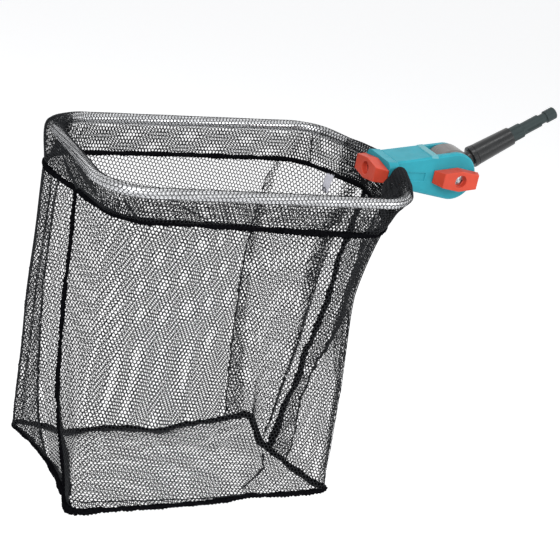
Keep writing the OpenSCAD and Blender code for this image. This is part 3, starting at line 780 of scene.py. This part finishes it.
# A cell is kept with at least so many of its corners inside the sheet, and so much
# of its full size.
LEAST_CORNERS = 4
LEAST_SIZE = 0.25
# The most of a cell's width that an upright thread takes on each side, and how much
# thicker the knots are where two slanting threads meet.
MOST_PILLAR = 0.42
KNOT = 1.15
# How much the rows rise or fall along each sheet.
FRONT_SKEW = 0.20
BACK_SKEW = -0.18
HEM_SKEW = 0.05


def quad_mesh(name, points, quads, body="head", slot="net_black", replaced=()):
    """A piece from arrays of points and quads, which rides a body and has a slot."""
    mesh = bpy.data.meshes.new(name)
    points = to_row(points)
    mesh.vertices.add(len(points))
    mesh.vertices.foreach_set("co", points.ravel())
    mesh.loops.add(quads.size)
    mesh.loops.foreach_set("vertex_index", quads.ravel().astype(np.int32))
    mesh.polygons.add(len(quads))
    starts = np.arange(0, quads.size, 4, dtype=np.int32)
    mesh.polygons.foreach_set("loop_start", starts)
    mesh.polygons.foreach_set("use_smooth", np.ones(len(quads), bool))
    mesh.update(calc_edges=True)
    mesh.validate()
    mesh.materials.append(materials[slot])
    piece = bpy.data.objects.new(name, mesh)
    bpy.context.scene.collection.objects.link(piece)
    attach(piece, body)
    if replaced:
        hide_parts(*replaced)


def lattice(reach, depth, skew, seed):
    """Corners (along, down) of a hexagonal lattice that covers a sheet, and cells."""
    half = max(abs(reach[0]), abs(reach[1])) + SPARE_CELLS * CELL_PITCH
    columns = int(2 * half / CELL_PITCH) + 2
    rise = half * abs(skew) + SPARE_CELLS * CELL_ROW
    rows = int((depth + 2 * rise) / CELL_ROW) + 2
    i = np.arange(columns)[None, :]
    j = np.arange(rows)[:, None]
    a = (i - columns / 2 + 0.5 * (j % 2)) * CELL_PITCH
    b = j * CELL_ROW - rise + 0 * i
    flat = np.concatenate([np.stack([a, b + offset * CELL_ROW], -1).reshape(-1, 2)
                           for offset in (-2 / 3, 2 / 3)])
    random = np.random.default_rng(seed)
    along = flat[:, 0] + random.normal(0, UNEVEN, len(flat))
    down = flat[:, 1] + skew * flat[:, 0] + random.normal(0, UNEVEN, len(flat))
    count = columns * rows
    jj, ii = np.meshgrid(np.arange(1, rows - 1), np.arange(1, columns - 1), indexing="ij")
    odd = jj % 2
    top = jj * columns + ii
    bottom = top + count
    above_right = (jj - 1) * columns + ii + odd + count
    above_left = above_right - 1
    below_right = (jj + 1) * columns + ii + odd
    below_left = below_right - 1
    cells = np.stack([top, above_right, below_right, bottom, below_left, above_left], -1)
    return along, down, cells.reshape(-1, 6)


def knit(name, sheet, skew, seed, replaced=(), shift=0.0, portion=None):
    """The open mesh of a sheet, or of a portion of its length: threads round holes."""
    along, down, cells = lattice(sheet.reach, sheet.depth, skew, seed)
    along = along + shift
    inside = sheet.inside(along, down)
    cells = cells[inside[cells].sum(1) >= LEAST_CORNERS]
    if portion is not None:
        middle = along[cells].mean(1)
        cells = cells[(middle >= portion[0]) & (middle < portion[1])]
    used, cells = np.unique(cells, return_inverse=True)
    cells = cells.reshape(-1, 6)
    places = sheet.place(along[used], down[used])
    corners = places[cells]
    across = (corners[:, 1] + corners[:, 2] - corners[:, 4] - corners[:, 5]) / 2
    upright = corners[:, 0] - corners[:, 3]
    normal = np.cross(across, upright)
    size = np.linalg.norm(normal, axis=1)
    keep = size > LEAST_SIZE * CELL_PITCH * CELL_ROW
    cells = cells[keep]
    corners = corners[keep]
    normal = normal[keep] / size[keep][:, None]
    across = across[keep]
    lift = np.zeros_like(places)
    for k in range(6):
        np.add.at(lift, cells[:, k], normal)
    lift /= np.maximum(np.linalg.norm(lift, axis=1), 1e-9)[:, None]
    middle = corners.mean(1)
    width = np.linalg.norm(across, axis=1)[:, None]
    thread = sheet.thread(middle)
    narrow = 1 - 2 * np.minimum(thread * PILLAR_HALF / width, MOST_PILLAR)
    shorter = thread * DIAGONAL_HALF / math.cos(math.radians(30)) / (CELL_ROW * 2 / 3)
    holes = np.empty_like(corners)
    for k in (0, 3):
        holes[:, k] = middle + (1 - shorter * KNOT) * (corners[:, k] - middle)
    for k, pole in ((1, 0), (2, 3), (4, 3), (5, 0)):
        up = corners[:, pole] - middle
        holes[:, k] = (middle + narrow * (corners[:, k] - middle)
                       + (0.5 * (1 - narrow) - shorter) * up)
    count = len(places)
    points = np.concatenate([places + THREAD_HALF * lift, places - THREAD_HALF * lift,
                             holes.reshape(-1, 3)])
    hole = 2 * count + np.arange(len(cells) * 6).reshape(-1, 6)
    quads = []
    for k in range(6):
        n = (k + 1) % 6
        quads.append(np.stack([cells[:, k], hole[:, k], hole[:, n], cells[:, n]], -1))
        quads.append(np.stack([cells[:, n] + count, hole[:, n], hole[:, k],
                               cells[:, k] + count], -1))
    start = cells.ravel()
    end = np.roll(cells, -1, 1).ravel()
    forward = start.astype(np.int64) * count + end
    backward = end.astype(np.int64) * count + start
    rim = ~np.isin(forward, backward)
    a = start[rim]
    b = end[rim]
    quads.append(np.stack([a, b, b + count, a + count], -1))
    quad_mesh(name, points, np.concatenate(quads), replaced=replaced)


front_wall = Wall(place_station(FAR_SEAM), place_station(HANDLE_SEAM), FRONT_MIDDLE)
back_wall = Wall(place_station(HANDLE_SEAM), place_station(FAR_SEAM, TURN), BACK_MIDDLE + TURN)
hem = Hem()
half_hem = hem.reach[1] / 2

knit("net_front_far", front_wall, FRONT_SKEW, 11, ("net_front",), portion=(-math.inf, 0))
knit("net_front_near", front_wall, FRONT_SKEW, 11, portion=(0, math.inf))
knit("net_back_near", back_wall, BACK_SKEW, 12, ("net_back",), portion=(-math.inf, 0))
knit("net_back_far", back_wall, BACK_SKEW, 12, portion=(0, math.inf))
knit("net_bottom_mesh", Bottom(), 0.0, 13, ("net_bottom",))
knit("net_hem_back", hem, HEM_SKEW, 14, ("net_hem",), shift=half_hem,
     portion=(-math.inf, half_hem))
knit("net_hem_front", hem, HEM_SKEW, 14, ("net_channel",), shift=half_hem,
     portion=(half_hem, math.inf))

# Where the channel and hem are pushed together, more layers lie on them: first and
# last station, distance out, height below which the layer lies.
GATHERS = [(4.15, 4.75, 1.2, -9.0), (4.45, 6.00, 1.4, math.inf), (4.52, 6.00, 2.6, math.inf),
           (0.05, 0.80, 1.4, math.inf), (2.16, 2.46, 1.4, math.inf)]
for number, (first, last, grow, top) in enumerate(GATHERS):
    gather = Hem(grow, first, last, top)
    knit(f"net_gather_{number + 1}", gather, 0.0, 31 + number, shift=gather.reach[1] / 2)

# Where the wall is folded over on itself, and one sheet of painted shade beside the
# crease at station 1.5: first and last station at each share of the way down, and
# distance out.
OVERLAPS = [
    ([(0, 2.34), (1, 2.28)], FAR_FOLD, 1.4),
    ([(0, 6.42), (0.35, 6.40), (0.5, 6.26), (0.65, 6.14), (0.8, 6.14), (1, 5.95)],
     [(0, 6.66), (0.35, 6.66), (0.5, 6.52), (0.65, 6.38), (0.8, 6.42), (1, 6.15)], 1.8),
    ([(0, 6.50), (0.35, 6.47), (0.5, 6.34), (0.65, 6.20), (0.8, 6.24), (1, 5.99)],
     [(0, 6.60), (0.35, 6.60), (0.5, 6.46), (0.65, 6.32), (0.8, 6.36), (1, 6.11)], 2.9),
    (NEAR_FOLD, HANDLE_SEAM, 1.8),
    # A net sheet put in the fold's shadow beside the crease: painted shade.
    ([(0, 1.43), (1, 1.46)], [(0, 1.50), (1, 1.54)], -1.4),
    ([(0, 4.42), (1, 4.44)], [(0, 4.80), (0.3, 4.80), (0.45, 4.95), (0.6, 4.60), (1, 4.55)], 1.8),
]
for number, (first, last, out) in enumerate(OVERLAPS):
    start = place_station(first)
    overlap = Wall(start, place_station(last), start(0), out)
    knit(f"net_overlap_{number + 1}", overlap, FRONT_SKEW, 51 + number)

# ---- seams

# A cord's rows lie this far apart, its threads wind round it over this length, and it
# strays to a new side every so many rows and swells over these lengths (mm).
CORD_STEP = 1.1
CORD_TWIST = 5.0
STRAY_ROWS = 6
LUMP_LENGTHS = (9, 23)
WOUND_THREADS = 3
THREAD_ROUGHNESS = 0.05
SEAM_RELIEF = 0.16
# A direction that no cord runs along.
OFF_CORD = np.array([0.31, 0.17, 0.93])


def cord(name, path, radii, replaced=(), closed=False, relief=SEAM_RELIEF, fuzz=0.18, lumps=0.0,
         seed=1, sides=12, slot="seam_black"):
    """An overlocked seam: a round cord with the threads winding round it."""
    path = np.asarray(path, float)
    if closed:
        path = np.concatenate([path, path[:1]])
    length = length_along(path)
    count = max(8, int(length[-1] / CORD_STEP))
    at = np.linspace(0, length[-1], count + 1)
    if closed:
        at = at[:-1]
    line = interp_rows(at, length, path)
    if closed:
        along = np.roll(line, -1, 0) - np.roll(line, 1, 0)
    else:
        along = np.gradient(line, axis=0)
    along /= np.linalg.norm(along, axis=1)[:, None]
    first = np.cross(along, OFF_CORD)
    first /= np.linalg.norm(first, axis=1)[:, None]
    second = np.cross(along, first)
    random = np.random.default_rng(seed)
    sway = random.normal(0, 1, (len(line) // STRAY_ROWS + 3, 2))
    knots = np.linspace(0, len(line), len(sway))
    drift = interp_rows(np.arange(len(line)), knots, sway)
    radius = np.interp(np.linspace(0, 1, len(line)), np.linspace(0, 1, len(radii)), radii)
    short, long = LUMP_LENGTHS
    radius *= 1 + lumps * np.sin(at / short + seed) * np.sin(at / long + 2 * seed)
    line = line + fuzz * (first * drift[:, :1] + second * drift[:, 1:])
    angle = np.arange(sides) * 2 * math.pi / sides
    turns = 2 * math.pi * at / CORD_TWIST
    wind = np.cos(WOUND_THREADS * angle[None, :] - turns[:, None])
    rough = random.normal(0, THREAD_ROUGHNESS, (len(line), sides))
    size = radius[:, None] * (1 + relief * wind + rough)
    round_it = np.cos(angle)[:, None] * first[:, None] + np.sin(angle)[:, None] * second[:, None]
    points = line[:, None] + size[..., None] * round_it
    rows = len(line)
    grid = np.arange(rows * sides).reshape(rows, sides)
    following = np.roll(grid, -1, 0) if closed else grid[1:]
    here = grid if closed else grid[:-1]
    quads = np.stack([here, np.roll(here, -1, 1), np.roll(following, -1, 1), following], -1)
    points = points.reshape(-1, 3)
    quads = quads.reshape(-1, 4)
    if not closed:
        caps = []
        for row, flip in ((grid[0], 1), (grid[-1], -1)):
            order = row[::-flip]
            for k in range(1, sides - 2, 2):
                caps.append([order[0], order[k], order[k + 1], order[k + 2]])
        quads = np.concatenate([quads, np.array(caps)])
    quad_mesh(name, points, quads, slot=slot, replaced=replaced)


# Radii of the seams, evenly spaced along each, and how far out the far one lies (mm).
HEM_SEAM_RADII = (3.2, 3.0, 2.9, 2.9, 3.0, 3.2, 3.5, 3.6, 3.6, 3.8, 3.4)
BOTTOM_SEAM_RADII = (4.2, 4.0, 4.0, 3.2, 3.6, 3.8, 4.0, 3.4, 2.8, 3.6, 4.4,
                     4.8, 3.4, 3.0, 3.0, 3.4, 3.0, 3.4, 4.0, 3.6, 4.2)
FAR_SEAM_RADII = (2.2, 2.3, 2.2, 2.4, 2.5, 2.4, 2.6, 2.8, 3.6, 5.0, 5.4)
FAR_SEAM_OUT = (1.2, 1.2, 1.2, 1.2, 1.2, 1.2, 1.0, 0.5, -0.8, -2.5, -3.0)
HANDLE_SEAM_RADII = (3.2, 3.6, 3.1, 3.6, 3.3, 3.8, 3.4, 4.0, 3.6, 4.2, 5.0)


def wavy(points, amount, seed):
    """The same path with a slow, uneven rise and fall."""
    phases = np.random.default_rng(seed).uniform(0, 2 * math.pi, 4)
    at = np.linspace(0, 2 * math.pi, len(points), endpoint=False)
    lift = sum(np.sin((k * 3 + 4) * at + phase) / (k + 1) for k, phase in enumerate(phases))
    moved = np.array(points, float)
    moved[:, 2] += amount * lift
    return moved


def wall_line(station, out, first=0.0, last=1.0):
    """A line down the wall, moved out by amounts at even shares of the way down."""
    path = []
    for t in np.linspace(first, last, LEVELS):
        ring = bag_ring(t)
        point = at_station(ring, station(t))
        away = at_station(outward(ring), station(t))
        off = np.interp(t, np.linspace(0, 1, len(out)), out)
        path.append([*(point[:2] + off * away), point[2]])
    return np.array(path)


hem_line = np.concatenate([HEM_RING, np.full((len(HEM_RING), 1), HEM_Z)], 1)
cord("hem_seam_cord", wavy(hem_line, 0.7, 3), HEM_SEAM_RADII, ("hem_seam",), closed=True,
     lumps=0.15, seed=21)
cord("bottom_seam_cord", wavy(bag_ring(1.0), 1.2, 5), BOTTOM_SEAM_RADII, ("bottom_seam",),
     closed=True, fuzz=0.45, lumps=0.18, seed=24)
cord("seam_far_cord", wall_line(place_station(FAR_SEAM), FAR_SEAM_OUT), FAR_SEAM_RADII,
     ("seam_far_end",), fuzz=0.35, lumps=0.2, seed=22)
cord("seam_handle_cord", wall_line(place_station(HANDLE_SEAM), (1.2, 1.2)),
     HANDLE_SEAM_RADII, ("seam_handle_end",), fuzz=0.45, lumps=0.2, seed=23)

# Creases where the mesh lies folded: places, way out, first and last share, radii.
CREASES = [
    (FAR_FOLD, (1.2, 1.2), 0.0, 0.97, (0.7, 0.8, 0.7)),
    ([(0.0, 2.355), (0.5, 2.375), (0.9, 2.355), (1.0, 2.31)], (0.6, 0.6), 0.0, 1.0,
     (1.0, 0.9, 0.9, 0.8)),
    ([(0.0, 1.50), (1.0, 1.54)], (-1.0, -1.0), 0.05, 1.0, (0.8, 1.1, 1.0)),
    (NEAR_FOLD, (1.4, 1.4), 0.05, 1.0,
     (0.8, 0.9, 1.3, 2.2, 2.8, 2.0, 1.6, 1.2, 0.9, 0.8, 0.7)),
    (BACK_FOLD, (1.4, 1.4), 0.2, 0.97, (0.5, 0.6, 0.7, 0.8, 0.8, 0.7, 0.8, 0.8)),
    ([(0.0, 4.44), (1.0, 4.44)], (0.4, 0.4), 0.3, 1.0, (0.4, 0.5, 0.4)),
]


def crease(name, path, radii, seed, fuzz, lumps=0.3, relief=0.3):
    """A thin, fuzzy cord of net, for a crease or an edge of the mesh."""
    cord(name, path, radii, fuzz=fuzz, lumps=lumps, relief=relief, seed=seed, sides=8,
         slot="net_black")


for number, (places, out, first, last, radii) in enumerate(CREASES):
    crease(f"crease_{number + 1}", wall_line(place_station(places), out, first, last), radii,
           41 + number, 0.7)

# Creases down the hem: station at the tube, station at the seam, radii.
PLEATS = [(4.28, 4.40, (1.4, 1.0, 1.6)), (4.06, 4.05, (0.5, 0.9, 0.7)),
          (4.44, 4.56, (1.0, 1.4, 1.2)), (3.56, 3.66, (0.8, 0.8, 0.5)),
          (3.30, 3.44, (1.0, 0.8, 0.8)), (1.22, 1.16, (0.8, 0.8, 0.6)),
          (2.68, 2.79, (1.2, 1.8, 1.5)), (0.62, 0.70, (1.2, 1.0, 0.8))]
PLEAT_STEPS = 16
# The step of a section, counted from the hem's seam, where a pleat starts.
PLEAT_TOP = 14


def pleat_line(high, low):
    """A line down the outer side of the hem from one station to another."""
    path = []
    for share in np.linspace(0, 1, PLEAT_STEPS + 1):
        station = high + (low - high) * share
        spot = np.interp(station, hem.stations, np.arange(len(hem.stations)))
        sheet = hem.sections[int(round(spot))]
        step = (1 - share) * PLEAT_TOP
        lower = int(step)
        part = step - lower
        path.append((1 - part) * sheet[lower] + part * sheet[lower + 1])
    return np.array(path)


for number, (high, low, radii) in enumerate(PLEATS):
    crease(f"pleat_{number + 1}", pleat_line(high, low), radii, 61 + number, 0.5)

# The selvage of the bottom, just above its seam, as (station, share of the way
# down), and a crease in the bottom, in plan (mm).
SELVAGE = [(3.02, 0.985), (3.10, 0.968), (3.3, 0.962), (3.6, 0.97), (3.8, 0.985), (3.95, 1.0)]
SELVAGE_STEPS = 120
FLOOR_CREASE = [(-92, -10), (-104, -42), (-130, -66), (-162, -92)]
FLOOR_CREASE_LIFT = 0.8


def selvage_line():
    """A line round the wall at the selvage's shares of the way down."""
    stations, shares = zip(*SELVAGE)
    path = []
    for station in np.linspace(stations[0], stations[-1], SELVAGE_STEPS):
        share = np.interp(station, stations, shares)
        path.append(at_station(bag_ring(share), station))
    return np.array(path)


def floor_line(points):
    """A line through places in plan, just above the bottom."""
    x, y = np.array(points, float).T
    return np.stack([x, y, FLOOR_Z - floor_sag(x, y) + FLOOR_CREASE_LIFT], -1)


crease("floor_crease", floor_line(FLOOR_CREASE), (1.4, 1.1, 1.1, 0.7), 72, 0.6)
crease("selvage_cord", selvage_line(), (0.6, 0.8, 0.7, 0.9, 0.6), 71, 0.4, lumps=0.2,
       relief=SEAM_RELIEF)

# ---- the tag

TAG_STATION = 0.83
TAG_WIDTH = 12.0
TAG_LENGTH = 25.0
TAG_THICK = 0.3
TAG_INWARD = 2.4
TAG_LEAN = 0.22
TAG_CURL = 1.1
TAG_TWIST = 2.7
TAG_COLUMNS = 9
TAG_ROWS = 17


def add_tag():
    """A short woven tape that hangs from the hem's seam on the inner side."""
    inward = -at_station(outward(HEM_RING), TAG_STATION)
    face = np.array([inward[0], inward[1], 0.0])
    side = np.array([-face[1], face[0], 0.0])
    fall = unit(face * TAG_LEAN + np.array([0.0, 0.0, -1.0]))
    top = at_station(hem_line, TAG_STATION) + face * TAG_INWARD
    across, down = np.meshgrid(np.linspace(-0.5, 0.5, TAG_COLUMNS), np.linspace(0, 1, TAG_ROWS))
    across = across.ravel()[:, None]
    down = down.ravel()[:, None]
    curl = TAG_CURL * np.sin(math.pi * down) + TAG_TWIST * across * down ** 2
    middle = top + side * TAG_WIDTH * across + fall * TAG_LENGTH * down + face * curl
    points = np.concatenate([middle + face * TAG_THICK / 2, middle - face * TAG_THICK / 2])
    size = TAG_ROWS * TAG_COLUMNS
    grid = np.arange(size).reshape(TAG_ROWS, TAG_COLUMNS)
    quads = np.stack([grid[:-1, :-1], grid[1:, :-1], grid[1:, 1:], grid[:-1, 1:]], -1)
    quads = quads.reshape(-1, 4)
    rim = np.concatenate([grid[0, :-1], grid[:-1, -1], grid[-1, :0:-1], grid[:0:-1, 0]])
    following = np.roll(rim, -1)
    edge = np.stack([rim, following, following + size, rim + size], -1)
    quad_mesh("tag_cloth", points, np.concatenate([quads, quads[:, ::-1] + size, edge]),
              slot="tag_white", replaced=("sewn_tag",))


add_tag()

# ---- floor and lights

FLOOR_DROP = 0.28
FLOOR_HALF = 9.0
FLOOR_COLOR = (0.86, 0.86, 0.86)
FLOOR_GLOW = (0.45, 0.45, 0.45, 1)
STUDIO_COLOR = (0.97, 0.98, 1.0, 1)
STUDIO_STRENGTH = 0.55
# Name, place, target, size (m) and power (W).
LIGHTS = [
    ("key", (-1.7, -1.6, 1.5), (-0.3, 0, -0.15), (1.1, 1.1), 27),
    ("fill", (1.5, -1.9, 0.8), (-0.2, 0, -0.15), (1.6, 1.2), 20),
    ("top", (-0.39, -0.59, 1.96), (-0.06, 0, -0.03), (0.8, 0.35), 5),
    ("back", (-0.2, 2.0, 1.3), (-0.25, 0, -0.15), (1.8, 1.2), 3),
]


def seen_directly(tree):
    """One for rays from the camera, in mirrors or through clear pieces, else zero."""
    rays = add_node(tree, "ShaderNodeLightPath")
    seen = rays.outputs["Is Camera Ray"]
    for kind in ("Is Glossy Ray", "Is Transmission Ray"):
        either = add_node(tree, "ShaderNodeMath", {0: seen, 1: rays.outputs[kind]})
        either.operation = "MAXIMUM"
        seen = either.outputs[0]
    return seen


def add_floor():
    """A pale floor that shows as white and still takes the object's shadow."""
    mesh = bpy.data.meshes.new("floor")
    z = cad_box[0][2] - FLOOR_DROP
    mesh.from_pydata([(x * FLOOR_HALF, y * FLOOR_HALF, z)
                      for x, y in ((-1, -1), (1, -1), (1, 1), (-1, 1))], [], [(0, 1, 2, 3)])
    floor = bpy.data.objects.new("floor", mesh)
    bpy.context.scene.collection.objects.link(floor)
    matt = Material("floor", FLOOR_COLOR, 0.9, Specular_IOR_Level=0.1)
    glow = matt.add("ShaderNodeEmission", {"Color": FLOOR_GLOW,
                                           "Strength": seen_directly(matt.tree)})
    both = matt.add("ShaderNodeAddShader", {0: matt.shader.outputs["BSDF"],
                                            1: glow.outputs["Emission"]})
    surface = matt.tree.nodes["Material Output"].inputs["Surface"]
    matt.tree.links.new(both.outputs["Shader"], surface)
    mesh.materials.append(matt.material)


def add_world():
    """Dim studio light all round, and plain white where it is seen directly."""
    world = bpy.data.worlds.new("studio")
    bpy.context.scene.world = world
    world.use_nodes = True
    tree = world.node_tree
    tree.nodes.clear()
    dim = add_node(tree, "ShaderNodeBackground", {"Color": STUDIO_COLOR,
                                                  "Strength": STUDIO_STRENGTH})
    white = add_node(tree, "ShaderNodeBackground", {"Color": (1, 1, 1, 1), "Strength": 1.0})
    mix = add_node(tree, "ShaderNodeMixShader", {0: seen_directly(tree),
                                                 1: dim.outputs["Background"],
                                                 2: white.outputs["Background"]})
    add_node(tree, "ShaderNodeOutputWorld", {"Surface": mix.outputs["Shader"]})


def add_light(name, place, target, size, power):
    data = bpy.data.lights.new(name, "AREA")
    data.shape = "RECTANGLE"
    data.size, data.size_y = size
    data.energy = power
    light = bpy.data.objects.new(name, data)
    bpy.context.scene.collection.objects.link(light)
    light.location = place
    aim = Vector(target) - Vector(place)
    light.rotation_euler = aim.to_track_quat("-Z", "Y").to_euler()


add_floor()
add_world()
for light in LIGHTS:
    add_light(*light)

bpy.context.scene.view_settings.view_transform = "Standard"
